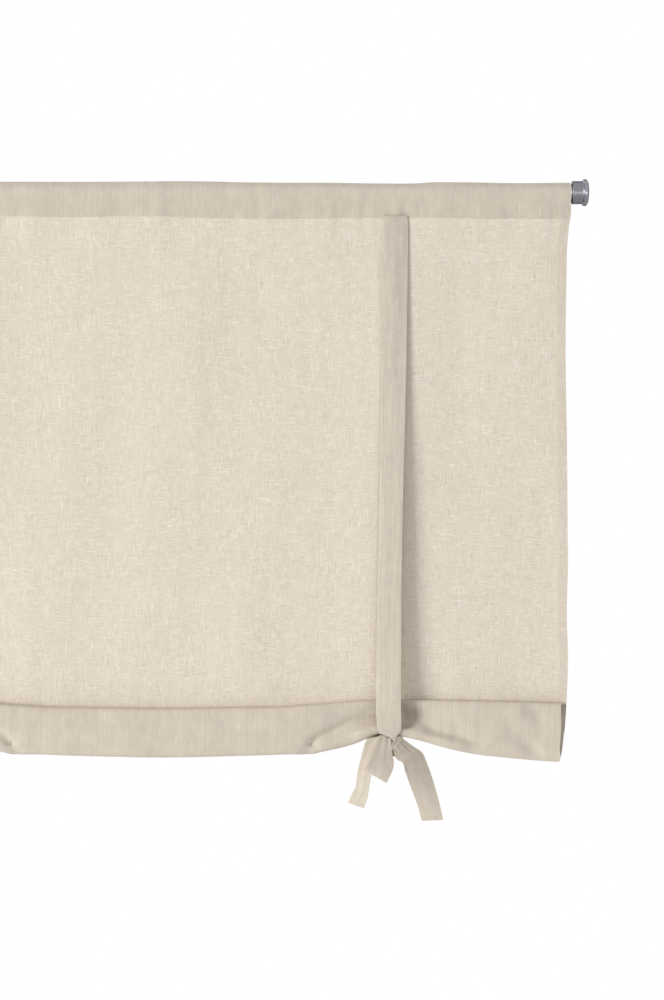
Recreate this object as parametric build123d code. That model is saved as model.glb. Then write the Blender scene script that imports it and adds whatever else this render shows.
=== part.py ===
from build123d import *
import math
import os

# A tie-up blind: linen sewn round a spring tension rod, its lower length rolled up and held by
# two pairs of ties. Millimetres. The origin is the centre of the right wall pad's face.
# +X points out of that face, along the rod, -Y is the front of the blind and +Z is up.

# Clearances
SOFT_GAP = 0.3  # between cloth and what it lies against
FIT_GAP = 0.05  # radial, between round pieces in each other
FACE_GAP = 0.1  # between flat faces that turn against each other
OVERRUN = 1.0  # how far a cut passes the face that it opens

# Rod
OUTER_TUBE_DIAMETER = 16.0
OUTER_TUBE_LENGTH = 560.0
TUBE_WALL = 0.7
TUBE_ROOM = 0.8  # radial, between the outer tube's bore and the inner tube
TUBE_OVERLAP = 145.0
COLLAR_RIM = 2.5
COLLAR_SPIGOT = 12.0
BARE_RIGHT = 2.2  # from the right foot to the cloth
BARE_LEFT = 45.0  # from the cloth to the left foot, which leaves room to press the rod in

# Wall feet
FOOT_LENGTH = 16.4  # flange and sleeve
FOOT_WALL = 4.5  # from the outer tube to the sleeve's outside
FLANGE_STEP = 2.0  # the flange stands this far out of the sleeve
FLANGE_THICKNESS = 4.3
FLANGE_FACE_ROUND = 1.0
FLANGE_BACK_SHARE = 0.3  # roundings in the flange's step
FLANGE_FLARE_SHARE = 0.6
SLEEVE_ROUND = 0.8
CUP_ROOM = 2.0  # the sleeve's open mouth stands this far off the outer tube
CUP_DEPTH = 5.0
SOCKET_FLOOR = 1.2  # wall between the pad's recess and the tube's socket
PAD_LIP = 2.5  # the flange's rim round the pad
PAD_PROUD = 1.2  # the pad stands this far out of the foot
PAD_RECESS = 2.0
PAD_ROUND = 0.6

# Spring and lock inside the rod
PLUNGER_PLUG = 12.0
PLUNGER_FLANGE = 3.0
SPRING_LENGTH = 100.0
SPRING_WIRE = 1.4
SPRING_ROOM = 0.9  # radial, between the spring and the outer tube's bore
SPRING_COILS = 10
SPIGOT_ROOM = 0.3  # radial, between the spring and the spigots in its ends
SPIGOT_LENGTH = 6.0
SCREW_DIAMETER = 6.0
SCREW_FLANGE = 2.0
SCREW_FLANGE_ROOM = 0.5  # radial, between the screw's flange and the outer tube's bore
SCREW_HEAD = 2.0
SCREW_HEAD_STEP = 1.0
LOCK_SLEEVE_LENGTH = 16.0
LOCK_SLEEVE_WALL = 1.25  # at the sleeve's mouth
LOCK_SLIT = 1.6
CONE_WALL = 1.0  # at the cone's tip
CONE_DEPTH = 8.0
CONE_HEAD = 3.0
CONE_TRAVEL = 3.0  # the cone backs out this far when the rod is unlocked

# Cloth
BLIND_WIDTH = 900.0
CLOTH = 0.8  # one layer
CHANNEL_HEIGHT = 36.5  # from the fold over the rod to the lower edge of the seam
SEAM_HEIGHT = 3.0
PANEL_INSET = 5.0  # the panel is this much narrower than the channel at each side
SIDE_HEM = 10.0
ROLL_TOP = 558.0  # top of the roll at the ties, below the rod's axis
ROLL_HEIGHT = 53.5
ROLL_DEPTH = 18.0
ROLL_CORE = 1.6  # radius of the innermost bend
ROLL_TURNS = 5
MIDDLE_SAG = 9.4  # the roll hangs lower between the ties
END_SAG = 2.8  # and its top and bottom hang lower at its free ends
END_DROP = 10.0
PINCH_LIFT = 14.0  # the ties draw the roll's underside up
PINCH_REACH = 85.0
PINCH_MARGIN = 2.0  # the drawn-up stretch is wider than the tie by this at each side
INNER_PINCH_SHARES = (0, 0.35, 1)  # where the outline is set from the tie to the pinch's reach
OUTER_PINCH_SHARES = (0, 0.6)

# Ties
TIE_WIDTH = 30.0
TIE_THICKNESS = 1.2
TIE_INSET = 195.0  # from the cloth's end to the middle of the tie, at the seam
TIE_LEAN = 7.4  # the tie's lower end lies this much further in
TIE_ENDS_APART = 2.0  # between the front and back strips under the roll
TAIL_OVERLAP = 0.2  # how far the loop is sunk into the tail that it runs on into

# The knot, and outlines of its tails and loop from the front about its middle, as shares of the tie's width
KNOT_SIZE_SHARES = (0.47, 0.27, 0.53)
KNOT_ROUND_SHARE = 0.1
KNOT_MIDDLE_SHARES = (0.21, -0.26)  # from the tie's lower end
LOOP_DEPTH_SHARE = 0.23
RIGHT_TAIL_SHARES = (
    (-0.07, 0.2), (0.37, 0.18), (0.77, -0.18), (0.97, -0.47),
    (1.65, -2.78), (0.86, -2.8), (0.22, -0.88), (-0.03, -0.55),
)
LEFT_TAIL_SHARES = (
    (-0.78, 0.25), (-0.66, 0.25), (-0.77, -0.58), (-0.99, -1.24), (-1.23, -2.34),
    (-1.82, -2.08), (-1.58, -1.6), (-1.43, -0.58), (-1.2, -0.2),
)
LOOP_SHARES = (
    (-0.62, 0.12), (-0.27, 0.12), (-0.27, -0.36), (-0.15, -0.65),
    (-0.22, -0.98), (-0.44, -1.42), (-0.99, -1.15), (-1.23, -0.91), (-0.99, -0.4),
)
LOOP_HOLLOW_SHARES = ((-1.4, 0.3), (0.1, 0.3), (-0.02, -0.7), (-0.36, -1.2), (-0.9, -0.98), (-1.4, -0.75))

# Worked out from the sizes above
foot_face = -PAD_PROUD
foot_mouth = foot_face - FOOT_LENGTH
tube_seat = foot_face - PAD_RECESS - SOCKET_FLOOR
cloth_right = foot_mouth - BARE_RIGHT
cloth_middle = cloth_right - BLIND_WIDTH / 2
left_foot_mouth = cloth_right - BLIND_WIDTH - BARE_LEFT
rod_middle = (left_foot_mouth + foot_mouth) / 2
sleeve_diameter = OUTER_TUBE_DIAMETER + 2 * FOOT_WALL
flange_diameter = sleeve_diameter + 2 * FLANGE_STEP
pad_diameter = flange_diameter - 2 * PAD_LIP
outer_tube_bore = OUTER_TUBE_DIAMETER - 2 * TUBE_WALL
inner_tube_diameter = outer_tube_bore - 2 * TUBE_ROOM
inner_tube_bore = inner_tube_diameter - 2 * TUBE_WALL
outer_tube_end = tube_seat - OUTER_TUBE_LENGTH
inner_tube_end = outer_tube_end + TUBE_OVERLAP
left_tube_seat = 2 * rod_middle - tube_seat
spring_left = inner_tube_end + PLUNGER_FLANGE
spring_right = spring_left + SPRING_LENGTH
spring_diameter = outer_tube_bore - 2 * SPRING_ROOM - SPRING_WIRE
spigot_diameter = spring_diameter - SPRING_WIRE - 2 * SPIGOT_ROOM
lock_left = spring_right + SCREW_FLANGE + FACE_GAP
lock_right = lock_left + LOCK_SLEEVE_LENGTH
lock_diameter = outer_tube_bore - 2 * FIT_GAP
cone_mouth = lock_diameter - 2 * LOCK_SLEEVE_WALL
cone_tip = SCREW_DIAMETER + 2 * CONE_WALL
spindle_end = lock_right + CONE_HEAD + CONE_TRAVEL + 2 * FACE_GAP

channel_radius = OUTER_TUBE_DIAMETER / 2 + SOFT_GAP + CLOTH
seam_bottom = channel_radius - CHANNEL_HEIGHT
seam_top = seam_bottom + SEAM_HEIGHT
channel_slope = channel_radius / (CHANNEL_HEIGHT - channel_radius)
panel_half_width = BLIND_WIDTH / 2 - PANEL_INSET
tie_top_x = cloth_right - TIE_INSET
tie_low_x = tie_top_x - TIE_LEAN
tie_from_middle = tie_low_x - cloth_middle
pinch_flat = TIE_WIDTH / 2 + PINCH_MARGIN
roll_radius = (ROLL_DEPTH - CLOTH) / 2
bend_step = (roll_radius - ROLL_CORE) / (2 * ROLL_TURNS - 1)


def round_bar(left, right, diameter):
    """Round bar along the rod, from left to right."""
    return Pos(X=(left + right) / 2) * Rot(Y=90) * Cylinder(diameter / 2, right - left)


def tube(left, right, diameter, bore):
    """Round tube along the rod, from left to right."""
    return round_bar(left, right, diameter) - round_bar(left - OVERRUN, right + OVERRUN, bore)


def turned(outline):
    """Solid turned about the rod's axis from an outline of places along it and radii."""
    return revolve(make_face(Polyline(*outline, close=True)), Axis.X)


def foot(tube_diameter):
    """Wall foot at the right end of the rod, with its pad's recess, tube socket and open mouth."""
    back = foot_face - FLANGE_THICKNESS
    corners = [
        (foot_face, 0),
        (foot_face, flange_diameter / 2),
        (back, flange_diameter / 2),
        (back, sleeve_diameter / 2),
        (foot_mouth, sleeve_diameter / 2),
        (foot_mouth, 0),
    ]
    step_rounds = [FLANGE_BACK_SHARE * FLANGE_STEP, FLANGE_FLARE_SHARE * FLANGE_STEP]
    outline = FilletPolyline(*corners, radius=[FLANGE_FACE_ROUND, *step_rounds, SLEEVE_ROUND])
    profile = make_face([*outline.edges(), Line(corners[-1], corners[0])])
    body = revolve(profile, Axis.X)
    body -= round_bar(foot_face - PAD_RECESS, foot_face + OVERRUN, pad_diameter + 2 * FIT_GAP)
    body -= round_bar(foot_mouth - OVERRUN, tube_seat, tube_diameter + 2 * FIT_GAP)
    body -= round_bar(foot_mouth - OVERRUN, foot_mouth + CUP_DEPTH, OUTER_TUBE_DIAMETER + 2 * CUP_ROOM)
    return body


def pad():
    """Wall pad at the right end of the rod, its face at the origin."""
    disc = round_bar(foot_face - PAD_RECESS, 0, pad_diameter)
    return fillet(disc.edges().group_by(Axis.X)[-1], PAD_ROUND)


def to_left_end(solid):
    """The same piece at the left end of the rod."""
    return mirror(solid, about=Plane.YZ.offset(rod_middle))


def guide_collar():
    """Collar in the outer tube's open end, which the inner tube slides in."""
    left = outer_tube_end - COLLAR_RIM
    right = outer_tube_end + COLLAR_SPIGOT
    rim = round_bar(left, outer_tube_end, OUTER_TUBE_DIAMETER)
    spigot = round_bar(outer_tube_end, right, outer_tube_bore - 2 * FIT_GAP)
    bore = round_bar(left - OVERRUN, right + OVERRUN, inner_tube_diameter + 2 * FIT_GAP)
    return rim + spigot - bore


def spring_plunger():
    """Plug in the inner tube's end, with a flange and a spigot for the spring."""
    plug = round_bar(inner_tube_end - PLUNGER_PLUG, inner_tube_end, inner_tube_bore - 2 * FIT_GAP)
    flange = round_bar(inner_tube_end, spring_left, outer_tube_bore - 2 * FIT_GAP)
    spigot = round_bar(spring_left, spring_left + SPIGOT_LENGTH, spigot_diameter)
    return plug + flange + spigot


def spring():
    """Compression spring between the plunger and the lock screw."""
    start = spring_left + SPRING_WIRE / 2 + FIT_GAP
    height = SPRING_LENGTH - SPRING_WIRE - 2 * FIT_GAP
    pitch = height / SPRING_COILS
    helix = Helix(pitch, height, spring_diameter / 2, center=(start, 0, 0), direction=(1, 0, 0))
    wire = Plane(helix @ 0, z_dir=helix % 0) * Circle(SPRING_WIRE / 2)
    return sweep(wire, path=helix)


def lock_screw():
    """Spindle that the inner rod turns, with the spring's other seat and an end stop for the cone."""
    spigot = round_bar(spring_right - SPIGOT_LENGTH, spring_right, spigot_diameter)
    flange = round_bar(spring_right, spring_right + SCREW_FLANGE, outer_tube_bore - 2 * SCREW_FLANGE_ROOM)
    spindle = round_bar(spring_right, spindle_end + SCREW_HEAD, SCREW_DIAMETER)
    head = round_bar(spindle_end, spindle_end + SCREW_HEAD, SCREW_DIAMETER + 2 * SCREW_HEAD_STEP)
    return spigot + flange + spindle + head


def lock_sleeve():
    """Split sleeve that the cone spreads against the outer tube."""
    body = tube(lock_left, lock_right, lock_diameter, SCREW_DIAMETER + 2 * FIT_GAP)
    tip = lock_right - CONE_DEPTH
    mouth = turned(
        [(tip, 0), (tip, cone_tip / 2), (lock_right, cone_mouth / 2), (lock_right, 0)]
    )
    slit = Pos((lock_left + lock_right) / 2, 0, outer_tube_bore / 4 + SCREW_DIAMETER / 4) * Box(
        LOCK_SLEEVE_LENGTH + 2 * OVERRUN, LOCK_SLIT, outer_tube_bore / 2 - SCREW_DIAMETER / 2 + 2 * OVERRUN
    )
    return body - mouth - slit


def lock_cone():
    """Nut with a taper that fits the sleeve's mouth and a key in the sleeve's slit."""
    tip = lock_right - CONE_DEPTH + FIT_GAP
    head_right = lock_right + FACE_GAP + CONE_HEAD
    body = turned(
        [
            (tip, 0),
            (tip, cone_tip / 2 - FIT_GAP),
            (lock_right, cone_mouth / 2 - FIT_GAP),
            (head_right, cone_mouth / 2 - FIT_GAP),
            (head_right, 0),
        ]
    )
    key_top = outer_tube_bore / 2 - 4 * FIT_GAP
    key_foot = cone_tip / 2 - OVERRUN
    key = Pos((tip + head_right) / 2, 0, (key_foot + key_top) / 2) * Box(
        head_right - tip, LOCK_SLIT - 4 * FIT_GAP, key_top - key_foot
    )
    bore = round_bar(tip - OVERRUN, head_right + OVERRUN, SCREW_DIAMETER + 2 * FIT_GAP)
    return body + key - bore


def pinch(x):
    """How fully the ties draw the cloth up at x: 1 at a tie, 0 beyond the pinch's reach."""
    away = abs(abs(x - cloth_middle) - tie_from_middle)
    along = (away - pinch_flat) / (PINCH_REACH - pinch_flat)
    return (1 - min(max(along, 0), 1)) ** 2


def roll_levels(x):
    """Heights of the roll's top and underside at x."""
    out = abs(x - cloth_middle)
    if out < tie_from_middle:
        inner_end = tie_from_middle - pinch_flat
        slack = math.sin(math.pi / 2 * max(1 - out / inner_end, 0))
        top = -ROLL_TOP - MIDDLE_SAG * slack
        return top, top - ROLL_HEIGHT + PINCH_LIFT * pinch(x)
    outer_end = tie_from_middle + pinch_flat
    outward = max(out - outer_end, 0) / (panel_half_width - outer_end)
    top = -ROLL_TOP - END_SAG * outward
    return top, -ROLL_TOP - ROLL_HEIGHT - END_DROP * outward + PINCH_LIFT * pinch(x)


def cloth_face_edges(x, off):
    """Edges of one face of the cloth, off its middle surface, from the seam to the inner end of the roll."""
    top, low = roll_levels(x)
    seam = (seam_top + seam_bottom) / 2
    points = [(x, off, seam), (x, roll_radius + off, top)]
    edges = [Line(*points)]
    last = points[-1]
    y = roll_radius
    for number in range(2 * ROLL_TURNS):
        radius = roll_radius - number * bend_step
        under = number % 2 == 0
        side = 1 if under else -1
        centre_z = low + ROLL_DEPTH / 2 if under else top - roll_radius + bend_step - CLOTH / 2
        centre_y = y - side * radius
        reach = radius + off
        start = (x, centre_y + side * reach, centre_z)
        bottom = (x, centre_y, centre_z - side * reach)
        end = (x, centre_y - side * reach, centre_z)
        edges += [Line(last, start), ThreePointArc(start, bottom, end)]
        last = end
        y = centre_y - side * radius
    return edges


def cloth_section(x):
    """Outline of the hanging and rolled cloth at one place along the rod."""
    back = cloth_face_edges(x, CLOTH / 2)
    front = cloth_face_edges(x, -CLOTH / 2)
    caps = [Line(back[0] @ 0, front[0] @ 0), Line(back[-1] @ 1, front[-1] @ 1)]
    return Face(Wire([*back, *front, *caps]))


def cloth_stations():
    """Places along the rod where the cloth's outline is set, from left to right."""
    spread = PINCH_REACH - pinch_flat
    outs = [tie_from_middle - pinch_flat - share * spread for share in reversed(INNER_PINCH_SHARES)]
    outs += [tie_from_middle + pinch_flat + share * spread for share in OUTER_PINCH_SHARES]
    outs += [panel_half_width]
    return [cloth_middle + out for out in [*(-out for out in reversed(outs)), 0, *outs]]


def side_hem(left):
    """Hem folded to the back of the panel, from the seam to the roll."""
    top = roll_levels(left)[0]
    corners = [
        (left, 0, seam_bottom),
        (left, 1.5 * CLOTH, seam_bottom),
        (left, roll_radius + 1.5 * CLOTH, top),
        (left, roll_radius, top),
    ]
    return extrude(make_face(Polyline(*corners, close=True)), amount=SIDE_HEM, dir=(1, 0, 0))


def linen_panel():
    """Rod channel, hanging panel with its side hems, and the flattened roll, all of one cloth."""
    right_face = Plane.YZ.offset(cloth_right)
    seam = Pos(0, (seam_top + seam_bottom) / 2) * Rectangle(2 * CLOTH, SEAM_HEIGHT)
    outside = make_hull(Circle(channel_radius).edges() + seam.edges())
    inside = make_hull(
        Circle(channel_radius - CLOTH).edges() + (Pos(0, seam_top) * Circle(CLOTH / 4)).edges()
    )
    channel = extrude(right_face * (outside - inside), amount=-BLIND_WIDTH)
    hanging = loft([cloth_section(x) for x in cloth_stations()], ruled=True)
    hems = side_hem(cloth_middle - panel_half_width) + side_hem(cloth_middle + panel_half_width - SIDE_HEM)
    return channel + hanging + hems


def tie_strip(side):
    """Tie strip from the seam to the roll's underside, at the front for side -1 and the back for side 1."""
    top, low = roll_levels(tie_low_x)
    seam_y = side * (CLOTH + channel_slope * SEAM_HEIGHT + SOFT_GAP + TIE_THICKNESS / 2)
    roll_y = side * (ROLL_DEPTH / 2 + SOFT_GAP + TIE_THICKNESS / 2)
    lean_rise = TIE_WIDTH / 2 * TIE_LEAN / ROLL_TOP
    under = low - SOFT_GAP - TIE_THICKNESS / 2 - lean_rise
    path = FilletPolyline(
        (tie_low_x, seam_y, seam_top),
        (tie_low_x, roll_y, top - roll_radius),
        (tie_low_x, roll_y, under),
        (tie_low_x, side * TIE_ENDS_APART / 2, under),
        radius=[ROLL_HEIGHT / 2, (ROLL_DEPTH - TIE_ENDS_APART) / 2],
    )
    across = Plane(path @ 0, x_dir=(1, 0, 0), z_dir=path % 0)
    strip = sweep(across * Rectangle(TIE_WIDTH, TIE_THICKNESS), path=path)
    lean = math.degrees(math.atan2(TIE_LEAN, seam_top - under))
    return strip.rotate(Axis((tie_low_x, 0, under), (0, 1, 0)), lean), under


def plate(shares, under, front, back):
    """Flat piece of tie from an outline about the knot's middle, between a front and a back."""
    x = tie_low_x + TIE_WIDTH * KNOT_MIDDLE_SHARES[0]
    z = under + TIE_WIDTH * KNOT_MIDDLE_SHARES[1]
    corners = [(x + TIE_WIDTH * across, front, z + TIE_WIDTH * up) for across, up in shares]
    return extrude(make_face(Polyline(*corners, close=True)), amount=back - front, dir=(0, 1, 0))


def tie_front():
    """Front tie strip with the knot under the roll and its right tail."""
    strip, under = tie_strip(-1)
    width, depth, height = (TIE_WIDTH * share for share in KNOT_SIZE_SHARES)
    knot_y = TIE_ENDS_APART / 2 - SOFT_GAP - depth / 2
    knot_x = tie_low_x + TIE_WIDTH * KNOT_MIDDLE_SHARES[0]
    knot = Pos(knot_x, knot_y, under + TIE_THICKNESS / 4 - height / 2) * Box(width, depth, height)
    knot = fillet(knot.edges(), TIE_WIDTH * KNOT_ROUND_SHARE)
    tail = plate(RIGHT_TAIL_SHARES, under, knot_y - TIE_THICKNESS / 2, knot_y + TIE_THICKNESS / 2)
    return strip + knot + tail


def tie_back():
    """Back tie strip with its left tail and the bow's loop, which lies in front of that tail."""
    strip, under = tie_strip(1)
    tail_front = TIE_ENDS_APART / 2
    tail = plate(LEFT_TAIL_SHARES, under, tail_front, tail_front + TIE_THICKNESS)
    loop_back = tail_front + TAIL_OVERLAP
    loop_front = loop_back - TIE_WIDTH * LOOP_DEPTH_SHARE
    loop = plate(LOOP_SHARES, under, loop_front, loop_back)
    hollow = plate(LOOP_HOLLOW_SHARES, under, loop_front + TIE_THICKNESS, loop_back - TIE_THICKNESS)
    return strip + tail + (loop - hollow)


def to_left_tie(solid):
    """The same tie at the left side of the blind."""
    return mirror(solid, about=Plane.YZ.offset(cloth_middle))


pieces = {
    "linen_panel": linen_panel(),
    "tie_front_right": tie_front(),
    "tie_back_right": tie_back(),
    "tie_front_left": to_left_tie(tie_front()),
    "tie_back_left": to_left_tie(tie_back()),
    "outer_tube": tube(outer_tube_end, tube_seat, OUTER_TUBE_DIAMETER, outer_tube_bore),
    "inner_tube": tube(left_tube_seat, inner_tube_end, inner_tube_diameter, inner_tube_bore),
    "guide_collar": guide_collar(),
    "right_foot": foot(OUTER_TUBE_DIAMETER),
    "right_pad": pad(),
    "left_foot": to_left_end(foot(inner_tube_diameter)),
    "left_pad": to_left_end(pad()),
    "spring_plunger": spring_plunger(),
    "spring": spring(),
    "lock_screw": lock_screw(),
    "lock_sleeve": lock_sleeve(),
    "lock_cone": lock_cone(),
}

os.makedirs("parts", exist_ok=True)
for name, solid in pieces.items():
    export_step(solid, f"parts/{name}.step")
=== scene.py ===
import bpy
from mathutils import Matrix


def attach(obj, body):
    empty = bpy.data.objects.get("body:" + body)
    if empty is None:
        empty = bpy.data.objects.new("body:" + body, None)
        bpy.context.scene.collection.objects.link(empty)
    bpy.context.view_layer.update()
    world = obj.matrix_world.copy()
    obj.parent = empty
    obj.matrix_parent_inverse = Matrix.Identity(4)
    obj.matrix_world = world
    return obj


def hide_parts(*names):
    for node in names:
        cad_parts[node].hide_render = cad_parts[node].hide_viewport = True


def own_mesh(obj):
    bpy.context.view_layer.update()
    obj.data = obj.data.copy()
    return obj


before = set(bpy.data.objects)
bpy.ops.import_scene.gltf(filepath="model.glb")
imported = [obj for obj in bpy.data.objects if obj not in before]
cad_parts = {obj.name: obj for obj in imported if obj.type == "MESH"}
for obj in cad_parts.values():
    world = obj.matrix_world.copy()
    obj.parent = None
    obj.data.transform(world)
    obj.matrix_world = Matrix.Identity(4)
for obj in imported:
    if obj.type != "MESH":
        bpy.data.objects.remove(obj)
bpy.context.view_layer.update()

import math

import bpy
import numpy as np
from mathutils import Vector

# The photograph's frame: places given as pixels are turned into metres here
PIXEL = 0.0011
PHOTO_WIDTH = 664
PHOTO_HEIGHT = 1000
ORIGIN_PX = (587.7, 192.7)
CAMERA_BACK = 1.95
SENSOR = 36.0
CLOTH_MIDDLE = -0.4684  # the left half of the blind is the right one's mirror image
ROD_MIDDLE = -0.4912
TURN = 2 * math.pi


def photo_x(px, y=0.0):
    """X of a photo column at depth y."""
    middle = (PHOTO_WIDTH / 2 - ORIGIN_PX[0]) * PIXEL
    return middle + (np.asarray(px, float) - PHOTO_WIDTH / 2) * PIXEL * (1 + y / CAMERA_BACK)


def photo_z(py, y=0.0):
    """Z of a photo row at depth y."""
    middle = (ORIGIN_PX[1] - PHOTO_HEIGHT / 2) * PIXEL
    return middle - (np.asarray(py, float) - PHOTO_HEIGHT / 2) * PIXEL * (1 + y / CAMERA_BACK)


def to_px(x):
    """The photo column of x at depth 0."""
    return (x - photo_x(0)) / PIXEL


def ease(t):
    """A soft step from 0 to 1."""
    t = np.clip(t, 0.0, 1.0)
    return t * t * (3 - 2 * t)


def ramp(value, start, reach):
    """A soft step from 0 at start to 1 at start + reach."""
    return ease((value - start) / reach)


def bump(distance, reach):
    """A soft hill, 1 at its middle."""
    return np.exp(-((np.asarray(distance, float) / reach) ** 2))


def curve(points, x):
    """A smooth line through (x, value) points, read at x, level beyond its ends."""
    xs, values = np.array(points, float).T
    slopes = np.gradient(values, xs)
    x = np.clip(x, xs[0], xs[-1])
    i = np.clip(np.searchsorted(xs, x) - 1, 0, len(xs) - 2)
    step = xs[i + 1] - xs[i]
    t = (x - xs[i]) / step
    return (
        (2 * t**3 - 3 * t**2 + 1) * values[i]
        + (t**3 - 2 * t**2 + t) * step * slopes[i]
        + (3 * t**2 - 2 * t**3) * values[i + 1]
        + (t**3 - t**2) * step * slopes[i + 1]
    )


def waves(x, z, parts):
    """A sum of soft waves, each (height, length along x, length along z, phase)."""
    total = 0.0
    for height, length_x, length_z, phase in parts:
        total = total + height * np.sin(TURN * (x / length_x + z / length_z) + phase)
    return total


def lengths(path):
    """How far along a path each of its points lies."""
    return np.concatenate([[0], np.cumsum(np.linalg.norm(np.diff(path, axis=0), axis=1))])


# Meshes

SHARP_DEGREES = 55


def unit(v):
    return v / np.maximum(np.linalg.norm(v, axis=-1, keepdims=True), 1e-12)


def shell(points, half_front, half_back, thread, layers):
    """A closed sheet round a grid of points: rows, columns, 3. layers holds one grid for each side."""
    rows, columns = points.shape[:2]
    normal = unit(np.cross(np.gradient(points, axis=0), np.gradient(points, axis=1)))
    front = points + normal * half_front[..., None]
    back = points - normal * half_back[..., None]
    verts = np.concatenate([front.reshape(-1, 3), back.reshape(-1, 3)])
    a = np.arange(rows * columns).reshape(rows, columns)
    b = a + rows * columns

    def quads(*corners):
        return np.stack([c.ravel() for c in corners], axis=1)

    faces = np.concatenate([
        quads(a[:-1, :-1], a[1:, :-1], a[1:, 1:], a[:-1, 1:]),
        quads(b[:-1, :-1], b[:-1, 1:], b[1:, 1:], b[1:, :-1]),
        quads(a[:-1, 0], b[:-1, 0], b[1:, 0], a[1:, 0]),
        quads(a[:-1, -1], a[1:, -1], b[1:, -1], b[:-1, -1]),
        quads(a[0, :-1], a[0, 1:], b[0, 1:], b[0, :-1]),
        quads(a[-1, :-1], b[-1, :-1], b[-1, 1:], a[-1, 1:]),
    ])
    thread = np.concatenate([thread.reshape(-1, 2)] * 2)
    layers = np.concatenate([np.asarray(side).reshape(-1) for side in layers])
    return {"verts": verts, "faces": faces, "thread": thread, "layers": layers}


def joined(parts):
    start = np.cumsum([0] + [len(p["verts"]) for p in parts])
    whole = {key: np.concatenate([p[key] for p in parts]) for key in ("verts", "thread", "layers")}
    whole["faces"] = np.concatenate([p["faces"] + s for p, s in zip(parts, start)])
    return whole


def mirrored(part):
    verts = part["verts"].copy()
    verts[:, 0] = 2 * CLOTH_MIDDLE - verts[:, 0]
    return dict(part, verts=verts, faces=part["faces"][:, ::-1])


def piece(name, part, material):
    """A piece of cloth or thread on the outer rod, with its thread places and layers for the material."""
    mesh = bpy.data.meshes.new(name)
    mesh.from_pydata(part["verts"].tolist(), [], part["faces"].tolist())
    thread = mesh.attributes.new("thread", "FLOAT_VECTOR", "POINT")
    flat = np.column_stack([part["thread"], np.zeros(len(part["thread"]))])
    thread.data.foreach_set("vector", flat.ravel())
    layers = mesh.attributes.new("layers", "FLOAT", "POINT")
    layers.data.foreach_set("value", part["layers"].astype(float))
    mesh.polygons.foreach_set("use_smooth", [True] * len(mesh.polygons))
    mesh.set_sharp_from_angle(angle=math.radians(SHARP_DEGREES))
    mesh.update()
    obj = bpy.data.objects.new(name, mesh)
    bpy.context.scene.collection.objects.link(obj)
    mesh.materials.append(material)
    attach(obj, "outer_rod")
    return obj


# Material nodes

def new_material(name):
    material = bpy.data.materials.new(name)
    material.use_nodes = True
    tree = material.node_tree
    return material, tree, tree.nodes["Principled BSDF"]


def node(tree, kind, inputs=(), **settings):
    made = tree.nodes.new("ShaderNode" + kind)
    for key, value in settings.items():
        setattr(made, key, value)
    for key, value in dict(inputs).items():
        if isinstance(value, bpy.types.NodeSocket):
            tree.links.new(value, made.inputs[key])
        else:
            made.inputs[key].default_value = value
    return made


def math_node(tree, operation, a, b=0.0):
    return node(tree, "Math", {0: a, 1: b}, operation=operation).outputs[0]


def plus(tree, a, b):
    return math_node(tree, "ADD", a, b)


def minus(tree, a, b):
    return math_node(tree, "SUBTRACT", a, b)


def times(tree, a, b):
    return math_node(tree, "MULTIPLY", a, b)


def larger(tree, a, b):
    return math_node(tree, "MAXIMUM", a, b)


def weighted(tree, *pairs):
    """The sum of weight times (socket - 0.5)."""
    total = 0.0
    for weight, socket in pairs:
        total = plus(tree, times(tree, minus(tree, socket, 0.5), weight), total)
    return total


def over(tree, socket, start, end):
    """0 up to start and 1 from end on, with a soft step between them."""
    span = {"Value": socket, "From Min": start, "From Max": end}
    return node(tree, "MapRange", span, interpolation_type="SMOOTHSTEP").outputs[0]


def mix(tree, factor, a, b, blend="MIX"):
    """Two colours mixed. 0, 6 and 7 are the Mix node's sockets for colours, and its result is output 2."""
    return node(tree, "Mix", {0: factor, 6: a, 7: b}, data_type="RGBA", blend_type=blend).outputs[2]


def shaded(tree, colour, factor):
    """A colour times a number socket."""
    grey = node(tree, "CombineColor", {0: factor, 1: factor, 2: factor}).outputs[0]
    return mix(tree, 1.0, colour, grey, "MULTIPLY")


def noise(tree, vector, scale, detail, shift=0.0, roughness=0.5):
    """Noise with its own scale along each axis, as a socket from 0 to 1."""
    mapped = node(tree, "Mapping", {"Vector": vector, "Scale": scale, "Location": (shift,) * 3})
    inputs = {"Vector": mapped.outputs[0], "Scale": 1.0, "Detail": detail, "Roughness": roughness}
    return node(tree, "TexNoise", inputs).outputs["Fac"]


# Linen

THREAD_PITCH = 0.0008
THREAD_APART = 7.31  # noise from one thread to the next
WARP_STREAKS = 70.0  # to the metre
WEFT_STREAKS = 105.0
WARP_SHIFT = 3.1
WEFT_SHIFT = 11.7
WARP_SWING = 0.92  # how far a thread's tone goes up and down
WEFT_SWING = 0.80
WEFT_DOUBLED = 0.35  # what is left of the weft's swing in doubled cloth
PATCH_SWING = 1.6  # the streaks are strong in some patches and weak in others
PATCH_LEAST = 0.2
DARK_THREADS = (0.42, 0.28)  # the noise at which a thread turns dark, pale, or shows a pinhole
PALE_THREADS = (0.58, 0.74)
PINHOLES = (0.66, 0.72)
DARK_WEIGHT = 0.3
PALE_WEIGHT = 2.8
# pinholes are painted pale: painted light shining through the weave's gaps
PINHOLE_WEIGHT = 0.25
PALE_THREAD = (0.90, 0.845, 0.76)
BAND_TONE = 0.07
CLOUD_TONE = 0.04
MOTTLE_TONE = 0.16  # in doubled cloth
# how much each unit of layers above 1 darkens the colour: painted shade
PAINTED_SHADE_STRENGTH = 0.32
WEAVE_TONE = 0.02
WEAVE_HEIGHT = 0.12
STITCH_PITCH = 0.0032
HOLE_ROUND = (0.1, 0.9)  # needle holes: their part of a stitch, their reach beside the seam, and where they show
HOLE_REACH = (0.0013, 0.0005)
HOLE_PATCHES = (0.44, 0.60)
HOLE_SHADE = 0.2
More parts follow.
